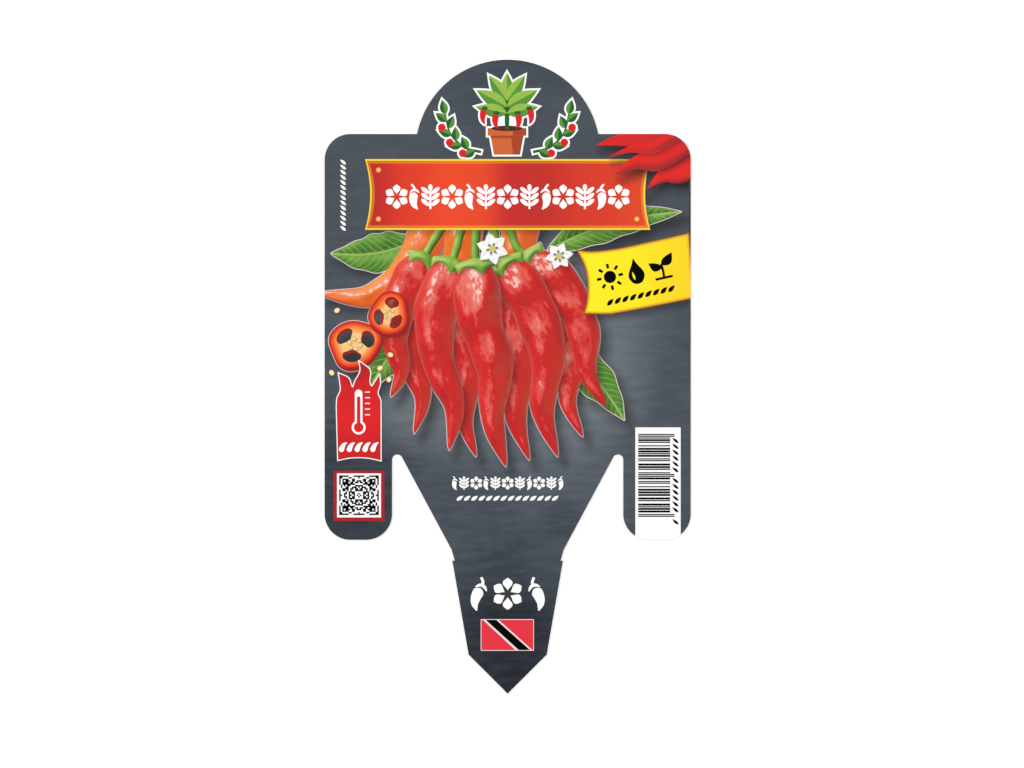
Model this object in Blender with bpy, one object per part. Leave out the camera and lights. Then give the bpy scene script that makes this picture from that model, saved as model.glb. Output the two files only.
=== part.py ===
"""A stick-in plant label: one die-cut sheet of printed plastic, lying on its back with the printed face up.

Metres, +Z up. The origin is on the back face, at the centre of the outline's box. +Y runs towards the
arched header, and -Y towards the point of the stake.
"""

import math

import bpy

MM = 0.001

# The sheet
SHEET_WIDTH = 110.0 * MM
SHEET_THICKNESS = 0.5 * MM
CUT_CHAMFER = 0.08 * MM  # the cutting die breaks the rims of both faces a little

# Heights above the point of the stake
HEADER_TOP = 190.4 * MM
SHOULDER = 168.1 * MM
SLOT_TOP = 71.8 * MM
TAB_BOTTOM = 46.2 * MM
NECK_TOP = 43.3 * MM
BARB = 40.1 * MM
POINT_SHOULDER = 11.8 * MM

# The arched header, the rounded body and the two hanging tabs
HEADER_RADIUS = 27.8 * MM
CORNER_RADIUS = 7.8 * MM
TAB_WIDTH = 20.4 * MM
SLOT_RADIUS = 1.5 * MM

# Half widths of the stake, from the neck down to the point
NECK_TOP_HALF = 16.9 * MM
NECK_HALF = 16.0 * MM
BARB_HALF = 16.7 * MM
POINT_HALF = 11.8 * MM

ARC_STEP = math.radians(3.5)
PRINTED_GREY = (0.086, 0.095, 0.112, 1.0)
PRINT_ROUGHNESS = 0.38


def arc(centre, radius, start, end):
    """Points along an arc, both ends included, in steps of at most ARC_STEP."""
    steps = math.ceil(abs(end - start) / ARC_STEP)
    angles = [start + (end - start) * i / steps for i in range(steps + 1)]
    return [
        (centre[0] + radius * math.cos(a), centre[1] + radius * math.sin(a))
        for a in angles
    ]


def tangent_angle(centre, radius, point):
    """The angle on the circle where the straight edge that comes up from point touches its inner side."""
    across, up = point[0] - centre[0], point[1] - centre[1]
    towards_point = math.atan2(up, across) % math.tau
    return towards_point - math.acos(radius / math.hypot(across, up))


def header_points():
    """The arch, from its top down to where it meets the shoulder."""
    centre = (0, HEADER_TOP - HEADER_RADIUS)
    meets_shoulder = math.asin((SHOULDER - centre[1]) / HEADER_RADIUS)
    return arc(centre, HEADER_RADIUS, math.pi / 2, meets_shoulder)


def tab_points():
    """The body's rounded shoulder, its straight side and the round foot of the tab."""
    outer = SHEET_WIDTH / 2 - CORNER_RADIUS
    inner = SHEET_WIDTH / 2 - TAB_WIDTH + CORNER_RADIUS
    foot = TAB_BOTTOM + CORNER_RADIUS
    return (
        arc((outer, SHOULDER - CORNER_RADIUS), CORNER_RADIUS, math.pi / 2, 0)
        + arc((outer, foot), CORNER_RADIUS, 0, -math.pi / 2)
        + arc((inner, foot), CORNER_RADIUS, -math.pi / 2, -math.pi)
    )


def slot_points():
    """The round end of the slot that takes the pot's rim, up to where the stake's slanted edge leaves it."""
    centre = (SHEET_WIDTH / 2 - TAB_WIDTH - SLOT_RADIUS, SLOT_TOP - SLOT_RADIUS)
    leaves = tangent_angle(centre, SLOT_RADIUS, (NECK_TOP_HALF, NECK_TOP))
    return arc(centre, SLOT_RADIUS, 0, leaves)


def stake_points():
    """The neck, the barb that grips the soil, the tapered blade and its point."""
    return [
        (NECK_TOP_HALF, NECK_TOP),
        (NECK_HALF, BARB),
        (BARB_HALF, BARB),
        (POINT_HALF, POINT_SHOULDER),
        (0, 0),
    ]


def outline():
    """The whole die-cut outline, clockwise from the top of the header, centred on the origin."""
    right = header_points() + tab_points() + slot_points() + stake_points()
    left = [(-x, y) for x, y in reversed(right[1:-1])]
    return [(x, y - HEADER_TOP / 2) for x, y in right + left]


def printed_plastic():
    material = bpy.data.materials.new("printed_plastic")
    material.use_nodes = True
    shader = material.node_tree.nodes["Principled BSDF"]
    shader.inputs["Base Color"].default_value = PRINTED_GREY
    shader.inputs["Roughness"].default_value = PRINT_ROUGHNESS
    shader.inputs["Metallic"].default_value = 0.0
    return material


def flat_sheet(name, points, thickness, chamfer):
    """A flat piece with the outline of points, its back face at z = 0 and the rims of both faces chamfered."""
    curve = bpy.data.curves.new(name, "CURVE")
    curve.dimensions = "2D"
    curve.fill_mode = "BOTH"
    curve.bevel_depth = chamfer
    curve.bevel_resolution = 0
    curve.offset = -chamfer
    curve.extrude = thickness / 2 - chamfer
    spline = curve.splines.new("POLY")
    spline.points.add(len(points) - 1)
    for control, (x, y) in zip(spline.points, points):
        control.co = (x, y, 0, 1)
    spline.use_cyclic_u = True
    sheet = bpy.data.objects.new(name, curve)
    sheet.location.z = thickness / 2
    return sheet


def main():
    for old in list(bpy.data.objects):
        bpy.data.objects.remove(old)
    label = bpy.data.collections.new("plant_label")
    bpy.context.scene.collection.children.link(label)
    sheet = flat_sheet("label_sheet", outline(), SHEET_THICKNESS, CUT_CHAMFER)
    sheet.data.materials.append(printed_plastic())
    label.objects.link(sheet)


main()
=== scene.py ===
import math
import random
from itertools import groupby

import bpy
import numpy as np
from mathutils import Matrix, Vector, geometry


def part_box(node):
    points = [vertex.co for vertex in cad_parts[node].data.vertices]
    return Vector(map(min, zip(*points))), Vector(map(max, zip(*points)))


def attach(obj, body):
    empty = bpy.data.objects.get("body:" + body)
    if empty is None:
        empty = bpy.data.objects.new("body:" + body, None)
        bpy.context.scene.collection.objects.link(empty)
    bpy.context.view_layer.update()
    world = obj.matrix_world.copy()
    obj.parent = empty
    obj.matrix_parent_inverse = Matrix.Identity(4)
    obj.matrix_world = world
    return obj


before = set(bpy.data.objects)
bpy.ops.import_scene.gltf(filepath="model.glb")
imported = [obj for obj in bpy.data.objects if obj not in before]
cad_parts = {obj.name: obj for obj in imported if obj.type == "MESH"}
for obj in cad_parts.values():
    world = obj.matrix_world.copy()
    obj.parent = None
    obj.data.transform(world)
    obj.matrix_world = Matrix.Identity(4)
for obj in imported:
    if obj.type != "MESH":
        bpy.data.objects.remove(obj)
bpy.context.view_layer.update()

# Shapes are in millimetres on the label's face: x to the right, y towards the arched header.
mm = 0.001
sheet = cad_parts["label_sheet"]
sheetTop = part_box("label_sheet")[1].z / mm
inkStep = 0.006     # each ink lies this much above the one before it
inkRoot = 0.01      # how deep an ink is sunk into the plastic
glossLift = 0.018   # the satin gloss adds this much light, so the inks are mixed that much darker

# Inks by their everyday colours, 0 to 255
tones = {
    "white": (252, 252, 250),
    "black": (12, 10, 12),
    "lineYellow": (248, 211, 64),
    "lineAmber": (232, 178, 50),
    "lineBrown": (160, 98, 34),
    "rivetOrange": (236, 136, 62),
    "rivetGold": (255, 216, 112),
    "red": (218, 38, 46),
    "sliceRed": (150, 30, 26),
    "frameRed": (168, 40, 46),
    "flagRed": (226, 58, 70),
    "flagWhite": (240, 222, 222),
    "leafGreen": (92, 146, 62),
    "darkGreen": (44, 98, 50),
    "limeGreen": (150, 186, 78),
    "heartGreen": (196, 204, 96),
    "anther": (120, 104, 128),
    "terracotta": (206, 104, 58),
    "terracottaDark": (168, 74, 44),
    "soil": (78, 50, 36),
    "paleEdge": (214, 196, 194),
}


def linear(tone):
    # the shader's own colour for a tone of 0 to 255, given by name or as three numbers
    shares = [part / 255 for part in tones.get(tone, tone)]
    straight = [s / 12.92 if s <= 0.04045 else ((s + 0.055) / 1.055) ** 2.4 for s in shares]
    return tuple(max(part - glossLift, part * 0.25) for part in straight)


# Drawing with points

def unit(vectors):
    return vectors / np.maximum(np.linalg.norm(vectors, axis=-1, keepdims=True), 1e-9)


def clean(loop):
    # without points that repeat the one before
    loop = np.array(loop, float)
    return loop[np.linalg.norm(loop - np.roll(loop, 1, axis=0), axis=1) > 1e-3]


def turned(loop, degrees, about=(0.0, 0.0)):
    angle = math.radians(degrees)
    spin = np.array([[math.cos(angle), math.sin(angle)], [-math.sin(angle), math.cos(angle)]])
    return (np.array(loop, float) - about) @ spin + about


def shifted(loop, x, y, size=1.0):
    return np.array(loop, float) * size + (x, y)


def mirrored(loop):
    return (np.array(loop, float) * (-1, 1))[::-1]


def bothSides(loops):
    return loops + [mirrored(loop) for loop in loops]


def boxLoop(left, bottom, right, top):
    return np.array([(left, bottom), (right, bottom), (right, top), (left, top)], float)


def roundLoop(centre, across, up=None, steps=40):
    angles = np.linspace(0, math.tau, steps, endpoint=False)
    up = across if up is None else up
    return np.column_stack([centre[0] + across * np.cos(angles), centre[1] + up * np.sin(angles)])


def smoothLine(points, steps=10, closed=False):
    # a curve that goes through all of the points
    points = np.array(points, float)
    if closed:
        padded = np.vstack([points[-1], points, points[:2]])
    else:
        padded = np.vstack([2 * points[0] - points[1], points, 2 * points[-1] - points[-2]])
    share = np.linspace(0, 1, steps, endpoint=False)[:, None]
    drawn = []
    for i in range(len(padded) - 3):
        a, b, c, d = padded[i:i + 4]
        bend = 2 * a - 5 * b + 4 * c - d + share * (3 * b - a - 3 * c + d)
        drawn.append(b + 0.5 * share * (c - a + share * bend))
    return np.vstack(drawn if closed else drawn + [points[-1:]])


def evenLine(line, count):
    # the same line with its points equally far apart, and how far along it each one is, from 0 to 1
    run = np.concatenate([[0], np.cumsum(np.linalg.norm(np.diff(line, axis=0), axis=1))])
    wanted = np.linspace(0, run[-1], count)
    points = np.column_stack([np.interp(wanted, run, line[:, axis]) for axis in (0, 1)])
    return points, np.linspace(0, 1, count)


def bowedLine(base, tip, bow, count):
    # from base to tip, bowed to the left; each point's share of the way; and where the left is
    share = np.linspace(0, 1, count)
    along = np.subtract(tip, base)
    side = unit(np.array([-along[1], along[0]]))
    return base + share[:, None] * along + (bow * np.sin(math.pi * share))[:, None] * side, share, side


def sideways(line):
    along = unit(np.gradient(line, axis=0))
    return np.column_stack([-along[:, 1], along[:, 0]])


def widened(line, half):
    # the outline of a line that is this much wide to either side of it
    half = half[:, None] * sideways(line)
    return np.vstack([line + half, (line - half)[::-1]])


def strokeLoop(line, halfWidth, endWidth=None):
    # a pen stroke along a line, thinning towards its end where endWidth is given
    endWidth = halfWidth if endWidth is None else endWidth
    return widened(np.array(line, float), np.linspace(halfWidth, endWidth, len(line)))


def leafLoop(base, tip, width, bow=0.0, fullest=0.42, sides=(1, 1)):
    # a pointed leaf; fullest says how far along it is widest, and sides how much of each half is drawn
    spine, share, side = bowedLine(base, tip, bow, 14)
    power = math.log(0.5) / math.log(fullest)
    half = (width / 2 * np.sin(math.pi * share ** power))[:, None] * side
    return clean(np.vstack([spine + sides[0] * half, (spine - sides[1] * half)[::-1]]))


def grownLoop(loop, distance):
    # the loop pushed outwards, with sharp corners kept short
    loop = clean(loop)
    after = np.roll(loop, -1, axis=0)
    edge = unit(after - loop)
    area = np.sum(loop[:, 0] * after[:, 1] - after[:, 0] * loop[:, 1]) / 2
    outward = np.column_stack([edge[:, 1], -edge[:, 0]]) * np.sign(area)
    joint = outward + np.roll(outward, 1, axis=0)
    stretch = np.maximum(np.sum(joint * outward, axis=1), 0.35)
    return loop + distance * joint / stretch[:, None]


def insideLoop(points, loop):
    crossed = np.zeros(len(points), bool)
    for (x0, y0), (x1, y1) in zip(loop, np.roll(loop, -1, axis=0)):
        if y0 != y1:
            spans = (points[:, 1] < y0) != (points[:, 1] < y1)
            crossed ^= spans & (points[:, 0] < x0 + (points[:, 1] - y0) * (x1 - x0) / (y1 - y0))
    return crossed


def nearestOn(points, loop):
    # the nearest spots on a loop, and how far inside it the points lie, negative outside
    nearest = np.zeros_like(points)
    least = np.full(len(points), 1e9)
    for start, end in zip(loop, np.roll(loop, -1, axis=0)):
        edge = end - start
        share = np.clip((points - start) @ edge / max(edge @ edge, 1e-12), 0, 1)
        spots = start + share[:, None] * edge
        away = np.einsum("ij,ij->i", points - spots, points - spots)
        closer = away < least
        nearest[closer] = spots[closer]
        least[closer] = away[closer]
    return nearest, np.sqrt(least) * np.where(insideLoop(points, loop), 1, -1)


def depthInside(points, loop):
    return nearestOn(points, loop)[1]


def openEdges(faces):
    # the edges that only one face has, each in its face's direction
    rim = {}
    for face in faces:
        for edge in zip(face, [*face[1:], face[0]]):
            if rim.pop(edge[::-1], None) is None:
                rim[edge] = True
    return list(rim)


def sheetOutline():
    # the cut edge of the printed face, read from the sheet as one loop
    mesh = sheet.data
    spots = [tuple(round(part / mm, 4) for part in vertex.co) for vertex in mesh.vertices]
    faces = [[spots[i] for i in face.vertices] for face in mesh.polygons]
    printedFace = [face for face in faces if min(spot[2] for spot in face) > sheetTop - 1e-3]
    after = dict(openEdges(printedFace))
    loop = [min(after)]
    while after[loop[-1]] != loop[0]:
        loop.append(after[loop[-1]])
    return clean([spot[:2] for spot in loop])


labelEdge = sheetOutline()
print("outline of the printed face:", len(labelEdge), "points")


# Plates of ink: points and faces, which way each point faces, its place for the paint, level and outlines

def innerPoints(add, cut, spacing):
    # a triangular pattern of points, a little in from every edge
    corners = np.vstack(add)
    rows = np.arange(corners[:, 1].min(), corners[:, 1].max(), spacing * 0.87)
    columns = np.arange(corners[:, 0].min(), corners[:, 0].max(), spacing)
    grid = np.array([(x + (k % 2) * spacing / 2, y) for k, y in enumerate(rows) for x in columns])
    depth = np.max([depthInside(grid, loop) for loop in add], axis=0)
    for loop in cut:
        depth = np.minimum(depth, -depthInside(grid, loop))
    return grid[depth > spacing * 0.35]


def flatPlate(add, level, cut=(), spacing=0.0):
    # ink over all loops in add but those in cut, cut off at the label's edge
    add = [clean(loop) for loop in add]
    cut = [clean(loop) for loop in cut]
    bleeds = not all(insideLoop(loop, labelEdge).all() for loop in add)
    corners, edges = [], []
    for loop in add + cut + ([labelEdge] if bleeds else []):
        first = len(corners)
        corners.extend(loop)
        edges.extend((first + i, first + (i + 1) % len(loop)) for i in range(len(loop)))
    if spacing:
        corners.extend(innerPoints(add, cut, spacing))
    found = geometry.delaunay_2d_cdt([Vector(corner) for corner in corners], edges, [], 0, 1e-5)
    points = np.array([tuple(point) for point in found[0]])
    faces = np.array(found[2])
    middles = points[faces].mean(axis=1)
    wanted = np.any([insideLoop(middles, loop) for loop in add], axis=0)
    for loop in cut:
        wanted &= ~insideLoop(middles, loop)
    if bleeds:
        wanted &= insideLoop(middles, labelEdge)
    return {
        "points": points,
        "faces": faces[wanted],
        "turn": np.tile((0.0, 0.0, 1.0), (len(points), 1)),
        "place": np.column_stack([points, np.zeros(len(points))]),
        "level": level,
        "loops": add,
    }


def onLabel(plate):
    # what would stand over the cut edge is drawn back to it
    nearest, depth = nearestOn(plate["points"], labelEdge)
    over = depth < 0
    if over.any():
        plate["points"][over] = nearest[over]
        plate["faces"] = plate["faces"][~over[plate["faces"]].all(axis=1)]
    return plate


def outlines(plates):
    return [plate["loops"][0] for plate in plates]


def addObject(name, data):
    made = bpy.data.objects.new(name, data)
    bpy.context.scene.collection.objects.link(made)
    return made


printed = []        # every piece's mesh, with the points and levels at which its shadow is worked out


def makePiece(name, plates, paint):
    # one object from one or more plates, closed all round and down into the plastic
    corners, faces, levels = [], [], []
    carried = {"turn": [], "place": []}
    for plate in plates:
        used, flat = np.unique(plate["faces"], return_inverse=True)
        flat = flat.reshape(plate["faces"].shape).tolist()
        count, first = len(used), len(corners)
        for height in (sheetTop + plate["level"] * inkStep, sheetTop - inkRoot):
            corners.extend((x, y, height) for x, y in plate["points"][used])
            levels.extend([plate["level"]] * count)
            for label, values in carried.items():
                values.extend(plate[label][used])
        for face in flat:
            faces.append([first + i for i in face])
            faces.append([first + count + i for i in reversed(face)])
        for here, there in openEdges(flat):
            faces.append([first + here, first + count + here, first + count + there, first + there])
    mesh = bpy.data.meshes.new(name)
    mesh.from_pydata([tuple(part * mm for part in corner) for corner in corners], [], faces)
    for label, values in carried.items():
        layer = mesh.attributes.new(label, "FLOAT_VECTOR", "POINT")
        layer.data.foreach_set("vector", np.array(values, np.float32).ravel())
    mesh.materials.append(paint)
    mesh.update()
    piece = addObject(name, mesh)
    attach(piece, "root")
    printed.append((mesh, np.array(corners)[:, :2], np.array(levels)))


# Painted shadows

shadowLook = {
    "fall": (1.3, -1.5),        # how far a shadow falls to the right and up, for a lift of 1
    "soft": 1.9,                # half the width of its soft edge, for a lift of 1
}
casters = []


def throwShadow(loops, level, strength, lowest=0):
    # strength is a lift and a darkness; what is printed from level lowest to just under level is darkened
    casters.append(([clean(loop) for loop in loops], level, *strength, lowest))


def paintShadows():
    # darkens every piece where something printed above it seems to stand in the light
    for mesh, points, levels in printed:
        shade = np.ones(len(points))
        for loops, level, lift, dark, lowest in casters:
            soft = shadowLook["soft"] * lift
            below = (levels < level) & (levels >= lowest)
            cover = np.zeros(len(shade))
            for loop in loops:
                shadow = loop + np.array(shadowLook["fall"]) * lift
                low, high = shadow.min(axis=0) - soft, shadow.max(axis=0) + soft
                near = below & np.all((points > low) & (points < high), axis=1)
                if near.any():
                    depth = np.clip(depthInside(points[near], shadow) / soft * 0.5 + 0.5, 0, 1)
                    cover[near] = np.maximum(cover[near], depth * depth * (3 - 2 * depth))
            shade *= 1 - dark * cover
        layer = mesh.attributes.new("shade", "FLOAT", "POINT")
        layer.data.foreach_set("value", shade.astype(np.float32))


# Paint: a wire is a socket's output that can be reckoned with like a number

def reckoned(operation, reflected=False):
    # a method of a wire that adds the node for one operation
    def method(wire, other):
        return wire.paint.reckon(operation, *((other, wire) if reflected else (wire, other)))
    return method


class Wire:
    def __init__(self, paint, socket):
        self.paint = paint
        self.socket = socket

    __add__ = reckoned("ADD")
    __radd__ = reckoned("ADD", reflected=True)
    __sub__ = reckoned("SUBTRACT")
    __rsub__ = reckoned("SUBTRACT", reflected=True)
    __mul__ = reckoned("MULTIPLY")
    __rmul__ = reckoned("MULTIPLY", reflected=True)
    __truediv__ = reckoned("DIVIDE")
    __pow__ = reckoned("POWER")
    atLeast = reckoned("MAXIMUM")
    dot = reckoned("DOT_PRODUCT")
    away = reckoned("DISTANCE")

    def part(self, axis):
        return self.paint.node("ShaderNodeSeparateXYZ", {}, {0: self}, "XYZ".index(axis))

    def ease(self, low, high, start=0.0, end=1.0):
        settings = {"interpolation_type": "SMOOTHSTEP"}
        sockets = {"Value": self, "From Min": low, "From Max": high, "To Min": start, "To Max": end}
        return self.paint.node("ShaderNodeMapRange", settings, sockets)


# The print's own finish, over every ink: noise scales by the millimetre, and heights in millimetres
finishLook = {
    "fineScale": 3.2,
    "broadScale": 0.12,
    "glossScale": 0.35,
    "glossSwing": 0.1,
    "reliefScale": 0.9,
    "reliefHeight": 0.05,
}


class Paint:
    def __init__(self, name, roughness=0.36, specular=0.4):
        self.material = bpy.data.materials.new(name)
        self.material.use_nodes = True
        self.tree = self.material.node_tree
        self.shader = self.tree.nodes["Principled BSDF"]
        self.shader.inputs["Specular IOR Level"].default_value = specular
        self.roughness = roughness

    def feed(self, socket, value):
        if isinstance(value, Wire):
            self.tree.links.new(value.socket, socket)
        elif not hasattr(socket.default_value, "__len__"):
            socket.default_value = value
        elif isinstance(value, (int, float)):
            socket.default_value = [value] * len(socket.default_value)
        else:
            socket.default_value = [*value, 1.0][:len(socket.default_value)]

    def node(self, kind, settings=None, sockets=None, output=0):
        made = self.tree.nodes.new(kind)
        for name, value in (settings or {}).items():
            if name == "stops":
                self.setStops(made.color_ramp, *value)
            else:
                setattr(made, name, value)
        for place, value in (sockets or {}).items():
            self.feed(made.inputs[place], value)
        return Wire(self, made.outputs[output])

    def setStops(self, ramp, stops, interpolation):
        ramp.interpolation = interpolation
        while len(ramp.elements) < len(stops):
            ramp.elements.new(1.0)
        for element, (position, tone) in zip(ramp.elements, stops):
            element.position = position
            element.color = (*linear(tone), 1.0)

    def ramp(self, wire, stops, interpolation="LINEAR"):
        return self.node("ShaderNodeValToRGB", {"stops": (stops, interpolation)}, {0: wire}, "Color")

    def reckon(self, operation, *parts):
        # a Vector Math node where a part is a vector, else a Math node
        kinds = [part.socket.type if isinstance(part, Wire) else type(part) for part in parts]
        kind = "ShaderNodeVectorMath" if "VECTOR" in kinds or tuple in kinds else "ShaderNodeMath"
        output = "Value" if operation in ("DOT_PRODUCT", "DISTANCE") else 0
        return self.node(kind, {"operation": operation}, dict(enumerate(parts)), output)

    def blend(self, factor, first, second, mode="MIX"):
        settings = {"data_type": "RGBA", "blend_type": mode}
        return self.node("ShaderNodeMix", settings, {0: factor, 6: first, 7: second}, 2)

    def carried(self, name, output="Vector"):
        return self.node("ShaderNodeAttribute", {"attribute_name": name}, {}, output)

    def face(self):
        # where on the label, in millimetres
        return self.node("ShaderNodeTexCoord", {}, {}, "Object") * (1 / mm, 1 / mm, 1 / mm)

    def noise(self, place, scale=1.0, detail=2.0, roughness=0.5, output=0):
        # scale is one number, or one for each axis
        if isinstance(scale, tuple):
            place, scale = place * scale, 1.0
        sockets = {"Vector": place, "Scale": scale, "Detail": detail, "Roughness": roughness}
        return self.node("ShaderNodeTexNoise", {"noise_dimensions": "3D"}, sockets, output)

    def facing(self, *ripples):
        # the way that the painted surface faces, rippled by noise: scale, detail, roughness and strength
        turn = self.carried("turn")
        for scale, detail, roughness, strength in ripples:
            ripple = self.noise(self.carried("place"), scale, detail, roughness, 1)
            turn = turn + (ripple - (0.5, 0.5, 0.5)) * strength
        return self.reckon("NORMALIZE", turn)

    def finish(self, colour, grain=0.05, shadowed=True, bump=0.05):
        # the print's own grain, painted shadows, and the sheet's satin gloss
        look = finishLook
        place = self.face()
        fine = self.noise(place, look["fineScale"], 3.0)
        broad = self.noise(place, look["broadScale"])
        light = 1 - grain + fine * grain + (broad - 0.5) * grain
        if shadowed:
            light = light * self.carried("shade", "Fac")
        self.feed(self.shader.inputs["Base Color"], self.blend(1.0, colour, light, "MULTIPLY"))
        swing = self.noise(place, look["glossScale"], 3.0) * look["glossSwing"]
        self.feed(self.shader.inputs["Roughness"], self.roughness - look["glossSwing"] / 2 + swing)
        relief = self.noise(place, look["reliefScale"], 3.0)
        sockets = {"Strength": bump, "Distance": look["reliefHeight"] * mm, "Height": relief}
        self.feed(self.shader.inputs["Normal"], self.node("ShaderNodeBump", {}, sockets))
        return self.material


def plainInk(tone):
    name = tone + "Ink"
    if name not in bpy.data.materials:
        # black ink is less glossy than the others
        paint = Paint(name, specular=0.06 if tone == "black" else 0.4)
        paint.finish(linear(tone))
    return bpy.data.materials[name]


def printFlat(name, loops, level, paint, cut=(), spacing=0.0):
    # one flat piece of ink, in a plain tone or in a paint of its own
    paint = plainInk(paint) if isinstance(paint, str) else paint
    makePiece(name, [flatPlate(loops, level, cut, spacing)], paint)


def changingInk(name, axis, change, marks, shades, clouds=None, between="LINEAR"):
    # an ink whose tone changes along the label; change is the start and the reach, clouds scale and strength
    paint = Paint(name)
    place = paint.face()
    share = (place.part(axis) - change[0]) / change[1]
    if clouds:
        share = share + (paint.noise(place, clouds[0], 1.0) - 0.5) * clouds[1]
    return paint.finish(paint.ramp(share, list(zip(marks, shades)), between))


# The plastic itself, seen at the cut edge and on the back

def whitePlastic():
    paint = Paint("whitePlastic", roughness=0.42)
    cloudy = paint.noise(paint.face(), 0.2, 4.0)
    tone = paint.ramp(cloudy, [(0.3, (238, 238, 235)), (0.7, (247, 247, 245))])
    return paint.finish(tone, grain=0.02, shadowed=False, bump=0.12)


sheet.data.materials.clear()
sheet.data.materials.append(whitePlastic())


# Ornaments, drawn about the origin: each is its loops and the holes cut out of them

def smallPod(spot, degrees, length, width):
    # a little chili outline: round shoulder, curved pointed tip
    middle = [(0, 0), (length * 0.35, width * 0.12), (length * 0.72, 0), (length, -width * 0.42)]
    line, share = evenLine(smoothLine(middle), 18)
    half = width / 2 * np.sqrt(np.clip(share / 0.16, 0, 1)) * (1 - share ** 2.2) ** 0.8
    return turned(shifted(widened(line, np.maximum(half, 0.03)), *spot), degrees, spot)


def flowerMotif():
    petal = leafLoop((0, 0.1), (0, 0.5), 0.31, fullest=0.6)
    return [turned(petal, 60 * k) for k in range(6)], [roundLoop((0, 0), 0.1, steps=24)]


def chiliMotif():
    brim = [(-0.19, 0.15), (-0.13, 0.28), (0, 0.33), (0.13, 0.28), (0.19, 0.15), (0, 0.23)]
    cap = smoothLine(brim, 6, closed=True)
    stalk = strokeLoop(smoothLine([(0, 0.28), (0.03, 0.4), (0.13, 0.5)], 6), 0.05, 0.04)
    return [smallPod((0, 0.17), -88, 0.68, 0.36), cap, stalk], []


def sprigMotif():
    # a stem with three pairs of round-ended leaves
    stem = strokeLoop([(0, -0.5), (0, 0.3)], 0.04)
    leaves = [
        turned(roundLoop((0.25, height), 0.21, 0.085, steps=24), 38, (0.04, height))
        for height in (-0.36, -0.12, 0.12)
    ]
    return [stem, roundLoop((0, 0.38), 0.09, 0.13, steps=24)] + bothSides(leaves), []


def sunMotif():
    rays = [turned(strokeLoop([(0, 0.33), (0, 0.5)], 0.05), 45 * k) for k in range(8)]
    return rays + [roundLoop((0, 0), 0.23, steps=32)], []


def dropMotif():
    half = smoothLine([(0, 0.5), (0.1, 0.27), (0.26, 0.0), (0.3, -0.2), (0.18, -0.42), (0, -0.49)], 8)
    gleam = turned(leafLoop((-0.13, -0.3), (-0.13, 0.03), 0.09), 8)
    return [np.vstack([half[:-1], half[::-1][:-1] * (-1, 1)])], [gleam]


def seedlingMotif():
    stem = strokeLoop(smoothLine([(0, -0.48), (0.02, -0.22), (0, 0.06)]), 0.045)
    right = leafLoop((0, 0.02), (0.48, 0.4), 0.34, bow=-0.06)
    left = leafLoop((0, -0.1), (-0.46, 0.18), 0.31, bow=0.06)
    return [stem, right, left, strokeLoop([(-0.33, -0.47), (0.33, -0.47)], 0.045)], []


def leafRow(count, pitch, length, width, degrees=35):
    # slanting leaves side by side
    starts = (np.arange(count) - (count - 1) / 2) * pitch
    leaf = leafLoop((-length / 2, 0), (length / 2, 0), width)
    return [shifted(turned(leaf, degrees), x, 0) for x in starts], []


def placed(motif, x, y, size=1.0, degrees=0.0):
    return tuple([shifted(turned(loop, degrees), x, y, size) for loop in loops] for loops in motif)


def inRow(motifs, width, y, size):
    # the first motif stands in the middle, the others on both sides of it, out to the given width
    lefts = [min(loop[:, 0].min() for loop in motif[0]) * size for motif in motifs]
    rights = [max(loop[:, 0].max() for loop in motif[0]) * size for motif in motifs]
    gap = (width / 2 - sum(rights) + sum(lefts[1:])) / (len(motifs) - 1)
    row = [placed(motifs[0], 0, y, size)]
    reach = rights[0]
    for motif, left, right in zip(motifs[1:], lefts[1:], rights[1:]):
        spot = reach + gap - left
        beside = placed(motif, spot, y, size)
        row += [beside, tuple([mirrored(loop) for loop in loops] for loops in beside)]
        reach = spot + right
    return row


def nameRow(count, width, y, size):
    # stands where a name would, on the plaque and smaller on the stake
    some = [flowerMotif(), sprigMotif(), chiliMotif()]
    return inRow((some * 3)[:count], width, y, size)


def printMotifs(name, motifs, level, tone):
    loops, holes = [[loop for motif in motifs for loop in motif[part]] for part in (0, 1)]
    printFlat(name, loops, level, tone, holes)


# The slate-grey ground over the whole face

slateLook = {
    "level": 1,
    "spacing": 1.15,            # between the points that carry the painted shadows
    "tones": ((40, 44, 51), (62, 68, 76), (84, 90, 98), (104, 111, 117), (124, 131, 136)),
    "base": 0.395,              # on the way from the first of those tones to the last
    # scale, detail and roughness of each noise, and its strength
    "streaks": ((0.1, 0.5, 1.0), 4.0, 0.56, 0.21),
    "hairs": ((0.35, 2.2, 1.0), 3.0, 0.6, 0.07),
    "drift": ((0.05, 0.07, 1.0), 3.0, 0.5, 0.16),
    "slope": 0.045,             # how much the streaks rise to the right
    # these change from one place to another: both places, and the strength at each
    "rougher": (-50, 70, 1.9, 1),           # streaks and hairs, by height
    "stakeDark": (-104, -40, -0.41, 0),     # by height
    "glow": (31, 57, 0.37, 0),              # the lighter pool behind the picture, out from its centre
    "glowCentre": (-2, 10),
    "glowFlat": 1.25,                       # how much wider than high it is
    # soft lighter and darker clouds: centre, reach and strength
    "clouds": (
        ((-51, -38), 36, -0.27),
        ((0, 92), 26, -0.07),
        ((0, -52), 14, -0.07),
        ((18, -42), 11, -0.12),
        ((38, -9), 13, 0.09),
        ((-1, -72), 19, -0.16),
        ((50, 52), 26, 0.03),
        ((20, -25), 30, 0.15),
        ((-32, -14), 14, 0.1),
        ((-34, 62), 20, 0.02),
    ),
}


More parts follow.
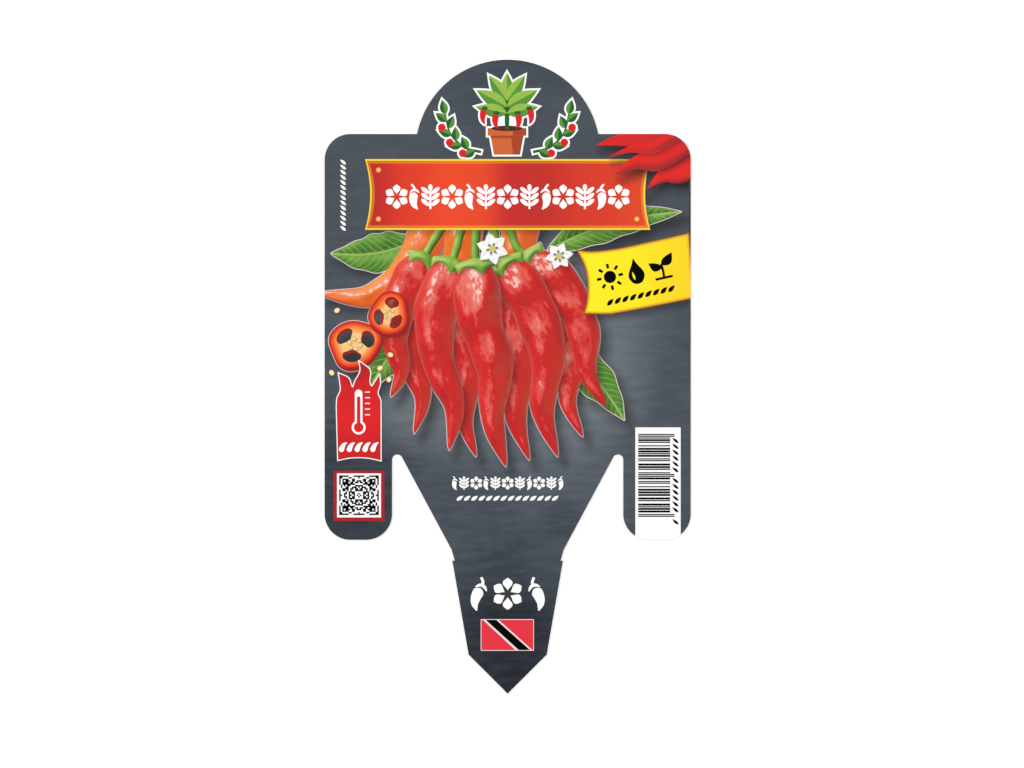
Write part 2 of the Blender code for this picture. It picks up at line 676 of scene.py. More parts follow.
def slateInk(look):
    paint = Paint("slateInk")
    place = paint.face()
    x, y = place.part("X"), place.part("Y")
    level = paint.node("ShaderNodeCombineXYZ", {}, {0: x, 1: y - x * look["slope"]})

    def layer(scale, detail, roughness, strength):
        return (paint.noise(level, scale, detail, roughness) - 0.5) * strength

    grain = (layer(*look["streaks"]) + layer(*look["hairs"])) * y.ease(*look["rougher"])
    tone = look["base"] + grain + layer(*look["drift"])
    flat = (1, look["glowFlat"], 0)
    tone = tone + (place * flat).away((*np.multiply(look["glowCentre"], flat[:2]), 0)).ease(*look["glow"])
    for centre, reach, strength in look["clouds"]:
        tone = tone + (place * (1, 1, 0)).away((*centre, 0)).ease(0, reach, strength, 0)
    tone = tone + y.ease(*look["stakeDark"])
    stops = list(zip(np.linspace(0, 1, len(look["tones"])), look["tones"]))
    return paint.finish(paint.ramp(tone, stops), grain=0.06)


def slateGround(look, level):
    printFlat("slateGround", [labelEdge], level, slateInk(look), spacing=look["spacing"])


# The picture: a bunch of chilies with slices and blossoms, painted as if lit from the upper left

lightFrom = unit(np.array((-0.42, 0.60, 0.68)))
pictureLook = {
    "level": 3,
    "edgeLevel": 2,
    "levelStep": 0.55,          # from one chili to the next one over it
    "edge": 0.26,               # the pale line round the cut-out picture
    "knot": (-9.0, 50.0),       # where the stalks meet, behind the plaque
    "topLevel": 12.6,           # of the slices and blossoms that lie over the chilies
    "sliceSide": (0.4, -0.9),   # where a slice's thickness shows
    "frontChilies": 5,          # the last ones have caps and stalks
    "capRise": 2.6,             # how far a cap stands above its chili's shoulder
    "capWidth": 0.86,           # as a share of the chili's width
    "stalkHalf": (1.15, 1.5),   # half a stalk's width at the cap and at the knot
    "spread": 0.45,             # how much of their distance the stalks keep at the knot
    # painted shadows: lift and darkness
    "shadow": (1.7, 0.8),
    "podShadow": (0.8, 0.62),
    "capShadow": (0.35, 0.5),
    "sliceShadow": (0.7, 0.55),
    "seedShadow": (0.25, 0.45),
    "petalShadow": (0.5, 0.5),
    "heartShadow": (0.2, 0.35),
}


def pressedPlate(spine, half, depth, level, seed=0.0, columns=18, reach=None):
    # a rounded body pressed flat: it keeps its outline, and each point remembers which way it faced
    side = sideways(spine)
    along = np.column_stack([side[:, 1], -side[:, 0]])
    roll = np.linspace(-math.pi / 2, math.pi / 2, columns + 1)
    share = np.linspace(0, 1, len(spine))
    half = np.maximum(half, 0.04)
    flat = spine[:, None, :] + side[:, None, :] * (half[:, None] * np.sin(roll))[..., None]
    if reach is not None:
        flat = flat + along[:, None, :] * (share[:, None] ** 2 * reach(roll))[..., None]
    solid = np.dstack([flat, depth(share[:, None], roll[None, :]) * half[:, None]])
    normal = unit(np.cross(np.gradient(solid, axis=0), np.gradient(solid, axis=1)))
    run = np.concatenate([[0], np.cumsum(np.linalg.norm(np.diff(spine, axis=0), axis=1))])
    place = np.dstack(np.broadcast_arrays(run[:, None], half[:, None] * roll[None, :], seed))
    rows, wide = flat.shape[:2]
    first = (np.arange(rows - 1)[:, None] * wide + np.arange(wide - 1)).ravel()
    outline = np.vstack([flat[:, 0], flat[-1, 1:-1], flat[::-1, -1], flat[0, -2:0:-1]])
    return onLabel({
        "points": flat.reshape(-1, 2),
        "faces": np.column_stack([first, first + wide, first + wide + 1, first + 1]),
        "turn": normal.reshape(-1, 3),
        "place": place.reshape(-1, 3),
        "level": level,
        "loops": [clean(outline)],
    })


def podPlate(points, width, level, seed):
    # a long chili: full shoulder over its first sixth, gentle dents, slender tip
    spine, share = evenLine(smoothLine(points, 16), 70)
    shoulder = 0.62 + 0.38 * np.sin(np.clip(share / 0.16, 0, 1) * math.pi / 2)
    taper = np.clip(1 - share ** 2.1, 0, 1) ** 0.72 * (1 - 0.22 * share)
    wave = 1 + 0.035 * np.sin(share * 17 + seed) + 0.025 * np.sin(share * 31 + 2.3 * seed)

    def depth(s, roll):
        grooves = 0.09 * np.cos(3 * roll + seed + 1.4 * np.sin(3 * s + seed)) * np.cos(roll)
        dents = 0.05 * np.sin(s * 23 + seed * 3 + 2 * np.sin(roll * 2 + seed)) * np.cos(roll)
        return np.cos(roll) * 0.95 + grooves + dents

    return pressedPlate(spine, width / 2 * shoulder * taper * wave, depth, level, seed)


def leafPlate(base, tip, width, bow, level, seed, narrowing=0.82):
    spine, share, _ = bowedLine(base, tip, bow, 46)
    edge = np.sin(math.pi * share ** narrowing) ** 0.9
    half = width / 2 * edge * (1 + 0.05 * np.sin(share * 26 + seed))

    def depth(s, roll):
        across = np.abs(np.sin(roll))
        return 0.5 * across - 0.42 * across ** 2 + 0.06 * np.sin(s * 20 + seed) * across

    return pressedPlate(spine, half, depth, level, seed, columns=16)


def stalkPlate(points, start, end, level, seed):
    spine, share = evenLine(smoothLine(points, 12), 34)
    half = start + (end - start) * share + 0.06 * np.sin(share * 19 + seed)
    return pressedPlate(spine, half, lambda s, roll: np.cos(roll) + 0 * s, level, seed, columns=12)


def calyxPlate(points, width, level, seed):
    # the green cap over a chili's shoulder, with pointed lobes
    spine, share = evenLine(smoothLine(points, 10), 20)
    half = width / 2 * (0.2 + 0.8 * np.sin(np.clip(share * 1.15, 0, 1) * math.pi / 2))

    def lobes(roll):
        return 2.2 * (1 - np.abs(np.sin(2.5 * roll + seed))) ** 1.3 + 0.9 * np.cos(roll) - 0.9

    def depth(s, roll):
        return np.cos(roll) * (0.9 - 0.35 * s)

    return pressedPlate(spine, half, depth, level, seed, 40, lobes)


def rimmedPlate(loop, level, cut=(), spacing=0.5):
    # a plate whose points remember how far in from its rim they lie
    plate = flatPlate([loop], level, cut, spacing)
    plate["place"][:, 2] = depthInside(plate["points"], plate["loops"][0]).clip(0)
    return plate


# A fruit's tones from its shade to its light, and of the light thrown back at it from below
redTones = ((88, 8, 16), (164, 22, 28), (212, 42, 42), (236, 90, 74), (232, 92, 68))
orangeTones = ((132, 36, 14), (204, 78, 28), (236, 118, 44), (248, 164, 84), (240, 130, 60))
fruitLook = {
    "ripples": (((0.3, 0.62, 1.0), 3.0, 0.55, 0.66), ((0.7, 0.9, 1.0), 3.0, 0.55, 0.36)),
    "patchScale": (0.12, 0.2, 1.0),
    "patches": 0.22,
    "light": (0.62, 0.3),                   # gain and lift
    "marks": (0.0, 0.42, 0.74, 1.0),        # where the four shades stand on the way to full light
    "sheen": (0.8, 1.0, 0, 0.55),           # where the soft highlight starts and ends, and its strength
    "sheenPatches": (0.32, 0.62, 0.35, 1),
    "sheenTone": (242, 152, 138),
    "spark": (0.955, 0.99),                 # where the small bright highlight starts and ends
    "sparkStrength": 0.8,
    "brokenScale": (0.55, 0.85, 1.0),       # of the noise that breaks it up
    "broken": (0.42, 0.62),
    "sparkTone": (255, 222, 212),
    "bounceFrom": (0.62, -0.68, 0.39),
    "bounce": (0.45, 1.0, 0, 0.38),
    # the strength of the painted rim light, which pales the fruit where it turns away towards its outline
    "rim": 0.42,
    "rimLightTone": (238, 156, 140),
}


def fruitPaint(name, tones):
    # the painted roundness of a glossy fruit, with broken painted highlights and a paler painted rim light
    look = fruitLook
    *shades, bounced = tones
    paint = Paint(name)
    place = paint.carried("place")
    facing = paint.facing(*look["ripples"])
    patches = paint.noise(place, look["patchScale"])
    gain, lift = look["light"]
    tone = facing.dot(tuple(lightFrom)) * gain + lift + (patches - 0.5) * look["patches"]
    colour = paint.ramp(tone, list(zip(look["marks"], shades)))
    gleam = facing.dot(tuple(unit(lightFrom + (0, 0, 1))))
    sheen = gleam.ease(*look["sheen"]) * patches.ease(*look["sheenPatches"])
    colour = paint.blend(sheen, colour, linear(look["sheenTone"]))
    broken = paint.noise(place, look["brokenScale"], 3.0).ease(*look["broken"])
    spark = gleam.ease(*look["spark"]) * broken * look["sparkStrength"]
    colour = paint.blend(spark, colour, linear(look["sparkTone"]))
    bounce = facing.dot(look["bounceFrom"]).ease(*look["bounce"])
    colour = paint.blend(bounce, colour, linear(bounced))
    # a painted rim light: paler where the painted surface turns away towards its outline
    rim = (1 - facing.part("Z").atLeast(0.0)) ** 3
    colour = paint.blend(rim * look["rim"], colour, linear(look["rimLightTone"]))
    return paint.finish(colour, grain=0.06)


# How leaves, petals, stalks and flames take the light
litLooks = {            # ripples: scale, detail, roughness and strength; light: gain and lift
    "pictureLeaf": {
        "ripples": ((0.5, 0.6, 1.0), 3.0, 0.6, 0.5),
        "light": (0.7, 0.22),
        "marks": (0.0, 0.4, 0.7, 1.0),
        "tones": ((22, 44, 24), (48, 90, 38), (88, 138, 54), (156, 194, 100)),
        "grain": 0.08,
    },
    "pictureBlossom": {
        "ripples": ((0.4, 2.6, 1.0), 2.0, 0.5, 0.3),
        "light": (0.8, 0.24),
        "marks": (0.0, 0.45, 0.75, 1.0),
        "tones": ((150, 148, 152), (214, 212, 208), (244, 243, 238), (255, 255, 252)),
        "grain": 0.04,
    },
    "pictureGreen": {
        "ripples": ((0.25, 2.2, 1.0), 3.0, 0.6, 0.4),
        "light": (0.66, 0.28),
        "marks": (0.0, 0.4, 0.72, 1.0),
        "tones": ((30, 52, 24), (70, 112, 44), (122, 166, 64), (198, 218, 128)),
        "grain": 0.08,
    },
    "flameRed": {
        "ripples": ((0.12, 0.3, 1.0), 1.0, 0.5, 0.3),
        "light": (0.7, 0.28),
        "marks": (0.0, 0.34, 0.64, 1.0),
        "tones": ((124, 30, 36), (172, 48, 50), (206, 48, 46), (226, 46, 43)),
        "grain": 0.05,
    },
}
veinLook = {
    "pitch": 2.3,
    "slant": 0.9,
    "vein": (0.03, 0.13, 0.5, 0),
    "rib": (0.16, 0.42, 0.8, 0),
    "tone": (164, 192, 112),
}


def veined(paint, colour):
    # a leaf's midrib and the veins that slant away from it
    look = veinLook
    place = paint.carried("place")
    across = paint.reckon("ABSOLUTE", place.part("Y"))
    veins = paint.reckon("FRACT", (place.part("X") - across * look["slant"]) / look["pitch"])
    vein = paint.reckon("ABSOLUTE", veins - 0.5).ease(*look["vein"]) * across.ease(0.0, 0.6)
    return paint.blend(vein.atLeast(across.ease(*look["rib"])), colour, linear(look["tone"]))


def litPaint(name, detail=None, between="LINEAR"):
    look = litLooks[name]
    gain, lift = look["light"]
    paint = Paint(name)
    lit = paint.facing(look["ripples"]).dot(tuple(lightFrom)) * gain + lift
    colour = paint.ramp(lit, list(zip(look["marks"], look["tones"])), between)
    return paint.finish(detail(paint, colour) if detail else colour, look["grain"])


rimLooks = {            # how far in from the rim the tones change, how unevenly, and at which marks
    "chiliFlesh": {
        "reach": 3.6,
        "uneven": 0.5,
        "marks": (0.0, 0.12, 0.34, 0.62, 1.0),
        "tones": ((168, 26, 28), (212, 48, 34), (236, 96, 46), (246, 142, 74), (252, 200, 132)),
    },
    "chiliSeed": {
        "reach": 0.8,
        "uneven": 0.1,
        "marks": (0.0, 0.35, 1.0),
        "tones": ((196, 146, 84), (246, 226, 170), (252, 240, 200)),
    },
}


def rimmedPaint(name):
    look = rimLooks[name]
    paint = Paint(name)
    place = paint.carried("place")
    inward = place.part("Z") + (paint.noise(place, (1.3, 1.3, 0.0), 3.0) - 0.5) * look["uneven"]
    stops = list(zip(look["marks"], look["tones"]))
    return paint.finish(paint.ramp(inward / look["reach"], stops), grain=0.06)


chilies = [             # from the back to the front: middle line, width, a seed for its dents, ink
    ([(-22, 51), (-25, 40), (-32, 30), (-42, 24), (-57, 25)], 12.5, 3.1, "orange"),
    ([(-13, 52), (-13.5, 41), (-15, 31), (-16, 16)], 12.5, 8.2, "orange"),
    ([(4, 52), (3.5, 41), (1, 31), (2, 16)], 12.5, 6.4, "orange"),
    ([(-22, 34), (-29, 21), (-29.5, 7), (-25.5, -6), (-28, -17)], 12, 2.2, "red"),
    ([(-14, 33), (-14, 18), (-11.5, 3), (-13, -12), (-9.5, -24)], 12.5, 9.4, "red"),
    ([(2, 33), (3.2, 17), (3.6, 2), (2.5, -12), (6.5, -25)], 13.5, 0.8, "red"),
    ([(12, 33), (20, 19), (20, 5), (18, -7), (22.5, -18)], 12, 3.7, "red"),
    ([(-25.5, 35), (-31.5, 24), (-34, 12), (-32, 1.5), (-35, -6)], 12.5, 1.7, "red"),
    ([(6.5, 35.5), (16, 27), (22.5, 14.5), (24, 1), (29.5, -9)], 13.5, 4.1, "red"),
    ([(-17, 33.5), (-21.5, 20), (-21, 5), (-16, -9), (-17.5, -22)], 14, 2.9, "red"),
    ([(-0.5, 33.5), (7.5, 21), (12, 6), (10.5, -9.5), (15, -24)], 14.6, 7.3, "red"),
    ([(-9.5, 33), (-8.5, 18), (-4, 3), (-4.5, -12.5), (-0.5, -27)], 15, 5.6, "red"),
]
leaves = [              # base, tip, width and bow
    ((-27, 41), (-53, 37), 11.5, 2.0),
    ((-20, 20), (-42, -4.5), 12.0, -2.5),
    ((12, 38), (52, 49.5), 9.5, 2.4),
    ((12, 10), (35, -13), 11.5, 2.5),
]
slices = [              # centre, radius, turn and a seed for its rim
    ((-45.9, 9.9), 7.9, 20, 1.3),
    ((-35.6, 18.9), 6.6, 75, 4.4),
]
blossoms = [            # centre, radius and turn
    ((-4.6, 38.4), 4.9, 12),
    ((15.4, 36.2), 4.1, 40),
]
seedSpots = ((-38.3, 2.6), (-35.6, -0.8), (-52.8, 1.2), (-35.2, 6.6), (-51.2, 19.9))


def podsAndStalks(look):
    pods = {"orange": [], "red": []}
    caps, stalks = [], []
    for k, (points, width, seed, ink) in enumerate(chilies):
        line = np.array(points, float)
        level = look["level"] + 1 + look["levelStep"] * k
        pods[ink].append(podPlate(line, width, level, seed))
        if k < len(chilies) - look["frontChilies"]:
            continue
        back = unit(line[0] - line[1])
        top = line[0] + back * look["capRise"]
        capLine = [top, line[0] + back * 0.6, line[0] - back * 0.4]
        caps.append(calyxPlate(capLine, width * look["capWidth"], level + 0.3, seed))
        knot = np.array(look["knot"])
        knot[0] += (line[0][0] - knot[0]) * look["spread"]
        stalkLine = [top - back * 0.6, top + back * 2.4, (top + knot) / 2 + back * 0.8, knot]
        stalks.append(stalkPlate(stalkLine, *look["stalkHalf"], level + 0.2, seed))
    return pods, caps, stalks


def cutSlice(centre, radius, turn, seed):
    # a slice across a chili: three lobes round three open chambers
    def laid(loop):
        return shifted(turned(np.array(loop) * (1, 0.88), turn), *centre, radius)

    angles = np.linspace(0, math.tau, 72, endpoint=False)
    rim = 1 + 0.06 * np.cos(3 * angles) + 0.02 * np.sin(5 * angles + seed)
    outer = laid(np.column_stack([rim * np.cos(angles), rim * np.sin(angles)]))
    lobe = [(0.79, 0), (0.74, 0.42), (0.58, 0.68), (0.37, 0.5), (0.25, 0)]
    lobe += [(reach, -angle) for reach, angle in lobe[3:0:-1]]
    chamber = smoothLine([(r * math.cos(a), r * math.sin(a)) for r, a in lobe], 6, closed=True)
    holes = [laid(turned(chamber, 120 * k)) for k in range(3)]
    seeds = [laid(turned([(0.22, 0)], 60 * k + 20))[0] for k in range(6)]
    return outer, holes, seeds


def slicesAndSeeds(look):
    top, aside = look["topLevel"], look["sliceSide"]
    faces, sides, seeds, openings, seedPlates = [], [], [], [], []
    for k, shape in enumerate(slices):
        outer, holes, spots = cutSlice(*shape)
        level = top + k
        sides.append(flatPlate([outer + aside], level - 0.3, cut=[hole + aside for hole in holes]))
        faces.append(rimmedPlate(outer, level, holes))
        seeds += [(spot, 0.085 * shape[1], level + 0.3) for spot in spots]
        openings += holes
        throwShadow([outer], level - 0.3, look["sliceShadow"], look["edgeLevel"])
    seeds += [(spot, 0.95, top) for spot in seedSpots]
    for k, (spot, size, level) in enumerate(seeds):
        loop = turned(roundLoop(spot, size, size * 0.82, steps=20), 47 * k, spot)
        seedPlates.append(rimmedPlate(loop, level, spacing=0.4))
        throwShadow([loop], level, look["seedShadow"], lowest=1)
    makePiece("pictureSliceSides", sides, plainInk("sliceRed"))
    makePiece("pictureSlices", faces, rimmedPaint("chiliFlesh"))
    makePiece("pictureSeeds", seedPlates, rimmedPaint("chiliSeed"))
    return sides + faces, openings


def blossomPlates(look):
    top = look["topLevel"]
    petals, hearts, anthers = [], [], []
    for centre, radius, turn in blossoms:
        for k in range(6):
            base, tip = turned([(0, 0.4), (0, radius)], turn + 60 * k) + centre
            petals.append(leafPlate(base, tip, radius * 0.66, 0, top + 0.3 * (k % 2), k, 0.75))
            anthers.append(turned(roundLoop((0, 1.25), 0.32, 0.6, steps=16), turn + 60 * k + 30) + centre)
        hearts.append(roundLoop(centre, 0.95, steps=24))
    makePiece("pictureBlossoms", petals, litPaint("pictureBlossom"))
    printFlat("blossomAnthers", anthers, top + 0.6, "anther")
    printFlat("blossomHearts", hearts, top + 0.9, "heartGreen")
    throwShadow(outlines(petals), top, look["petalShadow"], look["edgeLevel"])
    throwShadow(anthers + hearts, top + 0.6, look["heartShadow"], lowest=top)
    return petals


def picture(look, level):
    edgeLevel = look["edgeLevel"]
    leafPlates = [leafPlate(*shape, level + 0.2 * k, 0.7 + 1.3 * k) for k, shape in enumerate(leaves)]
    pods, caps, stalks = podsAndStalks(look)
    makePiece("pictureLeaves", leafPlates, litPaint("pictureLeaf", veined))
    makePiece("pictureOrangeChilies", pods["orange"], fruitPaint("chiliOrange", orangeTones))
    makePiece("pictureChilies", pods["red"], fruitPaint("chiliRed", redTones))
    makePiece("pictureStalks", stalks + caps, litPaint("pictureGreen"))
    allPods = pods["orange"] + pods["red"]
    cuts, openings = slicesAndSeeds(look)
    loops = outlines(leafPlates + allPods + caps + stalks + cuts + blossomPlates(look))
    edges = [grownLoop(loop, look["edge"]) for loop in loops]
    printFlat("pictureEdge", edges, edgeLevel, "paleEdge", openings, 1.4)
    throwShadow(loops, edgeLevel, look["shadow"])
    for plates, shadow in ((allPods, "podShadow"), (caps, "capShadow")):
        for plate in plates:
            throwShadow(plate["loops"], plate["level"], look[shadow], edgeLevel)


# The red plaque under the header

plaqueLook = {
    "halfWide": 42.8,
    "bottom": 44.05,
    "top": 65.3,
    "endSag": 1.55,             # how far the ends curve in
    "insets": (0.0, 0.55, 0.91, 1.37),      # of the yellow line, the two bands and the field
    "level": 14,
    "shadow": (0.8, 0.5),
    "rivet": 0.52,
    "rivetRing": 0.81,
    "rivetInset": (4.05, 3.25),
    "row": (73.0, 54.0, 7.4),   # the ornaments' width, height on the label and size
    # how the inks change from left to right
    "bandMarks": (0.0, 0.36, 0.56, 1.0),
    "outerBand": ((192, 116, 30), (228, 132, 46), (192, 112, 34), (228, 132, 50)),
    "innerBand": ((210, 120, 50), (242, 120, 52), (206, 108, 54), (236, 116, 56)),
    "fieldMarks": (0.03, 0.16, 0.3, 0.4, 0.52, 0.6, 0.8, 1.0),
    "field": (
        (190, 50, 46),
        (221, 64, 45),
        (232, 77, 46),
        (229, 75, 46),
        (194, 51, 49),
        (193, 53, 46),
        (213, 63, 48),
        (222, 76, 46),
    ),
}


def plaqueLoop(look, inset):
    bottom, top = look["bottom"] + inset, look["top"] - inset
    share = np.linspace(-1, 1, 21)
    heights = (bottom + top) / 2 + share * (top - bottom) / 2
    right = np.column_stack([look["halfWide"] - inset - look["endSag"] * (1 - share ** 2), heights])
    across = np.linspace(1, -1, 62)[1:-1] * right[0, 0]
    upper = np.column_stack([across, np.full(60, top)])
    lower = np.column_stack([-across, np.full(60, bottom)])
    return np.vstack([right, upper, right[::-1] * (-1, 1), lower])


def plaque(look, level):
    def ink(name, marks, shades):
        change = (-look["halfWide"], 2 * look["halfWide"])
        return changingInk(name, "X", change, look[marks], look[shades], between="EASE")

    loops = [plaqueLoop(look, inset) for inset in look["insets"]]
    for k, (name, paint) in enumerate((
        ("plaqueYellowLine", "lineYellow"),
        ("plaqueOuterBand", ink("plaqueOuterBand", "bandMarks", "outerBand")),
        ("plaqueInnerBand", ink("plaqueInnerBand", "bandMarks", "innerBand")),
    )):
        printFlat(name, [loops[k]], level + k, paint, [grownLoop(loops[k + 1], -0.1)], 1.2)
    printFlat("plaqueField", [loops[3]], level + 3, ink("plaqueRed", "fieldMarks", "field"), spacing=1.1)
    throwShadow([loops[0]], level, look["shadow"])
    inX, inY = look["rivetInset"]
    across = look["halfWide"] - inX
    spots = [(-across, look["bottom"] + inY), (-across, look["top"] - inY), (across, look["bottom"] + inY)]
    rings = [roundLoop(spot, look["rivetRing"], steps=28) for spot in spots]
    heads = [roundLoop(spot, look["rivet"], steps=24) for spot in spots]
    printFlat("plaqueRivetRings", rings, level + 4, "rivetOrange")
    printFlat("plaqueRivets", heads, level + 4.5, "rivetGold")
    printMotifs("plaqueOrnaments", nameRow(7, *look["row"]), level + 4, "white")


# Red flames over the top right corner, folded like silk

flameLook = {
    "level": 21,
    "farShadow": (1.4, 0.9),
    "nearShadow": (0.5, 0.55),
    "foldShadow": (0.45, 0.35),     # of one flame on the one behind it
}
flames = [              # middle line and width, from the back to the front
    ([(66, 83), (53, 75.2), (43, 71.4), (35, 71.2), (26.4, 69.4)], 13),
    ([(68, 74), (58, 66.5), (52, 61.4), (46.8, 60.2), (41.8, 56.4)], 12.5),
    ([(65, 79), (54, 71.5), (46, 65.2), (38.8, 64.2), (32.0, 60.6)], 12.5),
    ([(64, 81), (53, 74.4), (44, 68.6), (37, 68.2), (30.2, 65.8)], 6.4),
]


def flamePlate(points, width, level, seed):
    spine, share = evenLine(smoothLine(points, 14), 64)

    def depth(s, roll):
        return (0.6 + 0.24 * np.cos(2.2 * roll + 4 * s + seed)) * np.cos(roll)

    return pressedPlate(spine, width / 2 * (1 - share ** 1.6) ** 0.9, depth, level, seed)


def cornerFlames(look, level):
    plates = [flamePlate(*flame, level + k, 1.7 * k) for k, flame in enumerate(flames)]
    makePiece("cornerFlames", plates, litPaint("flameRed", between="EASE"))
    throwShadow(outlines(plates), level, look["farShadow"])
    throwShadow(outlines(plates), level, look["nearShadow"])
    for plate in plates[1:]:
        throwShadow(plate["loops"], plate["level"], look["foldShadow"], lowest=level)


# The yellow ribbon with care signs

ribbonLook = {
    "level": 14,
    "brownLine": 0.34,
    "amberLine": 0.5,
    "shadow": (0.9, 0.62),
    "change": (21, 34),         # where its yellow starts to change, and over what width
    "marks": (0.0, 0.5, 0.8, 1.0),
    "yellow": ((249, 236, 42), (250, 230, 40), (249, 216, 40), (248, 210, 42)),
    "clouds": ((0.06, 0.3, 1.0), 0.2),
    "signDegrees": 12.5,
    "signCentre": (38.9, 29.4),
    "signPitch": 7.9,
    "signSize": 8.0,
    "signRise": 2.3,
    "leavesRise": -5.1,
}


def ribbonLoop():
    top = [(20.6, 38.1), (25.8, 37.7), (33.8, 38.7), (44.0, 40.9), (56.0, 43.6)]
    bottom = [(56.0, 23.5), (44.0, 21.1), (33.8, 19.2), (29.8, 18.7), (22.7, 18.8)]
    left = [(22.7, 18.8), (23.7, 23.0), (23.9, 28.0), (23.0, 33.0), (20.6, 38.1)]
    return np.vstack([smoothLine(side, 8)[:-1] for side in (top, bottom, left)])


def ribbon(look, level):
    loop = ribbonLoop()
    amber = grownLoop(loop, -look["brownLine"])
    yellow = grownLoop(loop, -look["brownLine"] - look["amberLine"])
    printFlat("ribbonBrownLine", [loop], level, "lineBrown", spacing=1.6)
    printFlat("ribbonAmberLine", [amber], level + 1, "lineAmber", spacing=1.6)
    ink = changingInk("ribbonYellow", "X", look["change"], look["marks"], look["yellow"], look["clouds"])
    printFlat("ribbonFace", [yellow], level + 2, ink, spacing=1.2)
    throwShadow([loop], level, look["shadow"])
    signs = [placed(leafRow(9, 2.35, 2.8, 1.25), 0, look["leavesRise"])]
    for k, motif in enumerate((sunMotif(), dropMotif(), seedlingMotif())):
        signs.append(placed(motif, (k - 1) * look["signPitch"], look["signRise"], look["signSize"]))
    signs = [placed(sign, *look["signCentre"], degrees=look["signDegrees"]) for sign in signs]
    printMotifs("ribbonSigns", signs, level + 3, "black")


# The small red pennant on the left tab

pennantLook = {
    "level": 14,
    "left": -51.3,
    "right": -38.1,
    "bottom": -25.1,
    "shoulder": -9.0,
    "line": 0.29,
    "change": (-25, 30),        # where its red starts to change, and over what height
    "marks": (0.0, 0.45, 0.75, 1.0),
    "red": ((196, 34, 42), (222, 38, 44), (206, 36, 42), (166, 34, 40)),
    "clouds": (0.2, 0.3),
    "pipHeight": -22.6,
    "pipPitch": 2.35,
    # the thermometer: heights on the label, radii and half widths
    "bulbHeight": -15.2,
    "bulb": 2.1,
    "glass": 1.15,
    "glassBottom": -13.6,
    "glassTop": -5.0,
    "redBulb": 1.45,
    "column": 0.52,
    "columnTop": -6.4,
    "ticks": (-11.4, -4.2, 1.7),            # the lowest, the upper end and the pitch
}


def pennantLoop(look, middle):
    left, right, bottom, shoulder = look["left"], look["right"], look["bottom"], look["shoulder"]
    foot = [(right, bottom), (middle + 3.2, bottom + 0.75), (middle, bottom + 0.95)]
    foot += [(middle - 3.2, bottom + 0.75), (left, bottom)]
    tips = [(left + 0.6, 1.0), (middle + 0.2, 4.6), (right - 0.4, 0.6)]
    leftSide = [(left, shoulder), (left + 0.2, -6.4), (left + 1.2, -4.0), (left + 0.9, -0.8), tips[0]]
    leftGap = [tips[0], (left + 3.5, -0.4), (left + 4.7, -3.2), (left + 5.6, -1.2)]
    leftGap += [(middle + 0.5, 1.7), tips[1]]
    rightGap = [tips[1], (middle + 3.3, 2.0), (middle + 3.2, -1.4), (middle + 3.9, -2.9)]
    rightGap += [(middle + 5.0, -1.4), tips[2]]
    rightSide = [tips[2], (right - 0.2, -2.2), (right - 0.9, -4.8), (right - 0.1, -7.0), (right, shoulder)]
    drawn = [smoothLine(part, 8)[:-1] for part in (foot, leftSide, leftGap, rightGap, rightSide)]
    return clean(np.vstack(drawn))


def pennant(look, level):
    middle = (look["left"] + look["right"]) / 2
    loop = pennantLoop(look, middle)
    printFlat("pennantLine", [grownLoop(loop, look["line"])], level, "white", spacing=1.5)
    ink = changingInk("pennantRed", "Y", look["change"], look["marks"], look["red"], look["clouds"])
    printFlat("pennantField", [loop], level + 1, ink, spacing=1.2)
    bulb, top = (middle, look["bulbHeight"]), (middle, look["columnTop"])
    glass = np.vstack([
        roundLoop((middle, look["glassTop"]), look["glass"], steps=24)[:13],
        [(middle - look["glass"], look["glassBottom"])],
        np.roll(roundLoop(bulb, look["bulb"], steps=36), -12, axis=0)[:30],
        [(middle + look["glass"], look["glassBottom"])],
    ])
    ticks = [strokeLoop([(middle + 1.9, y), (middle + 3.4, y)], 0.16) for y in np.arange(*look["ticks"])]
    printFlat("gaugeGlass", [glass] + ticks, level + 2, "white")
    column = [
        strokeLoop([bulb, top], look["column"]),
        roundLoop(bulb, look["redBulb"], steps=30),
        roundLoop(top, look["column"], steps=20),
    ]
    printFlat("gaugeColumn", column, level + 3, "red")
    pip = smallPod((0, 0), 68, 3.4, 1.6) - (0.6, 0)
    pips = [shifted(pip, middle + look["pipPitch"] * k, look["pipHeight"]) for k in range(-2, 3)]
    printFlat("pennantPips", pips, level + 2, "white")


# The framed tile pattern on the left tab's foot

tileLook = {
    "level": 12,
    "frame": (-52.3, -43.3, -37.0, -28.2),
    "panel": (-51.2, -42.2, -38.0, -29.0),
    "pattern": (-50.55, -41.5, -38.65, -29.6),
    "cells": 25,
    "filled": 0.56,
    "seed": 4,
}


def tilePattern(look):
    # little squares, mirrored four ways so that they read as an ornament
    draw = random.Random(look["seed"])
    cells = look["cells"]
    half = (cells + 1) // 2
    quarter = [[draw.random() < look["filled"] for _ in range(half)] for _ in range(half)]
    left, bottom, right, top = look["pattern"]
    wide, high = (right - left) / cells, (top - bottom) / cells
    loops = []
    for row in range(cells):
        spots = [sorted((min(row, cells - 1 - row), min(k, cells - 1 - k))) for k in range(cells)]
        low = bottom + row * high
        start = 0
        for filled, run in groupby(quarter[i][j] for i, j in spots):
            end = start + len(list(run))
            if filled:
                loops.append(boxLoop(left + start * wide, low, left + end * wide, low + high))
            start = end
    return loops


def tile(look, level):
    frameLoop, panelLoop = boxLoop(*look["frame"]), boxLoop(*look["panel"])
    printFlat("tileFrame", [frameLoop], level, "frameRed", [grownLoop(panelLoop, -0.1)])
    printFlat("tilePanel", [panelLoop], level + 1, "white")
    printFlat("tilePattern", tilePattern(look), level + 2, "black")


# The white strip with bars on the right tab

